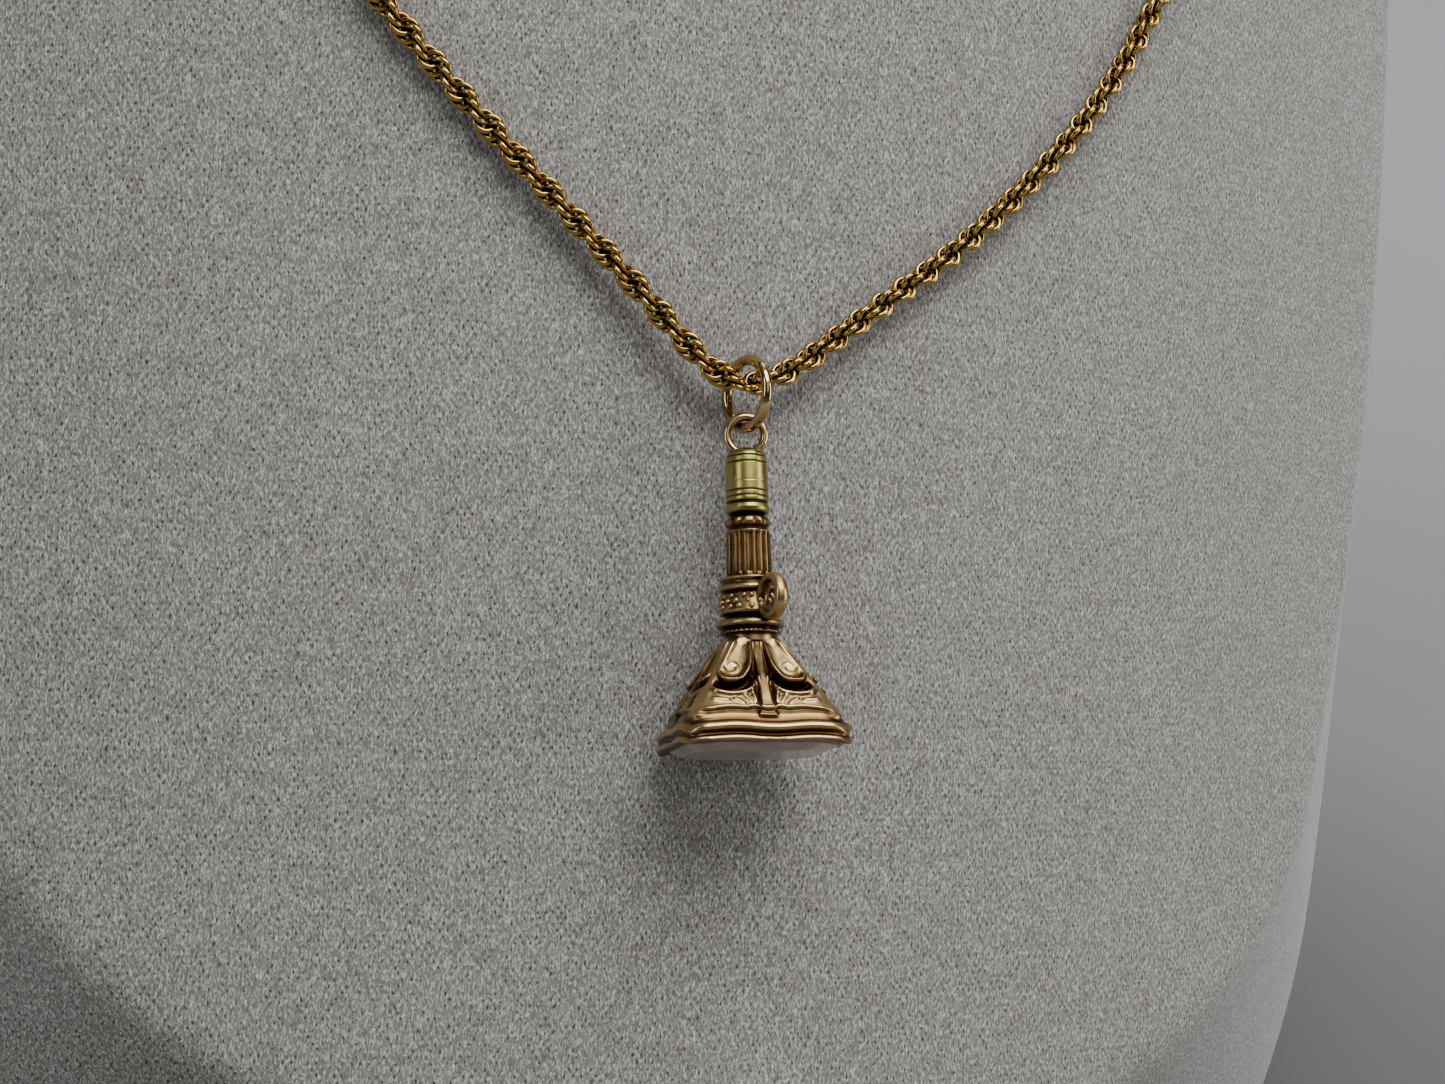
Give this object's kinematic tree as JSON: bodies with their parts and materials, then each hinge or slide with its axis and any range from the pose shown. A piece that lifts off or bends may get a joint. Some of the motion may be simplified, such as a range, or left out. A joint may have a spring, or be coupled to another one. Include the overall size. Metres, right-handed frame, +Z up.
{
  "type": "seal pendant necklace on a neck bust",
  "caption": "Small fob seal hanging by a jump ring from a fine rope chain, displayed on a plain cloth-covered neck bust.",
  "frame": {"origin": "on the bust's flat base, midway between its back and the front of the foot", "axes": "+Z up, the bust faces -Y, +X to the viewer's right from the front"},
  "size_m": [0.1616, 0.1267, 0.1837],
  "materials": {
    "velvet": "short grey suede cloth",
    "chain_gold": "polished yellow gold with dark gaps",
    "ring_gold": "pale polished gold",
    "cap_gold": "green-yellow gold, worn",
    "seal_gold": "antique rose gold, dark in the recesses",
    "stone": "polished milky chalcedony"
  },
  "bodies": {
    "stand": {"neck_bust": "velvet", "chain_right": "chain_gold", "chain_left": "chain_gold", "clasp": "chain_gold"},
    "ring": {"jump_ring": "ring_gold"},
    "seal": {"seal_cap": "cap_gold", "seal_body": "seal_gold", "seal_stone": "stone"}
  },
  "joints": [
    {"name": "ring_swing", "type": "hinge", "parent": "stand", "child": "ring", "pos_m": [-0.0055, -0.05448, 0.07912], "axis": [-1, 0, 0], "range_deg": [0, 60]},
    {"name": "seal_sway", "type": "hinge", "parent": "ring", "child": "seal", "pos_m": [-0.0055, -0.056, 0.07602], "axis": [0, -0.9511, 0.309], "range_deg": [-20, 20]}
  ]
}
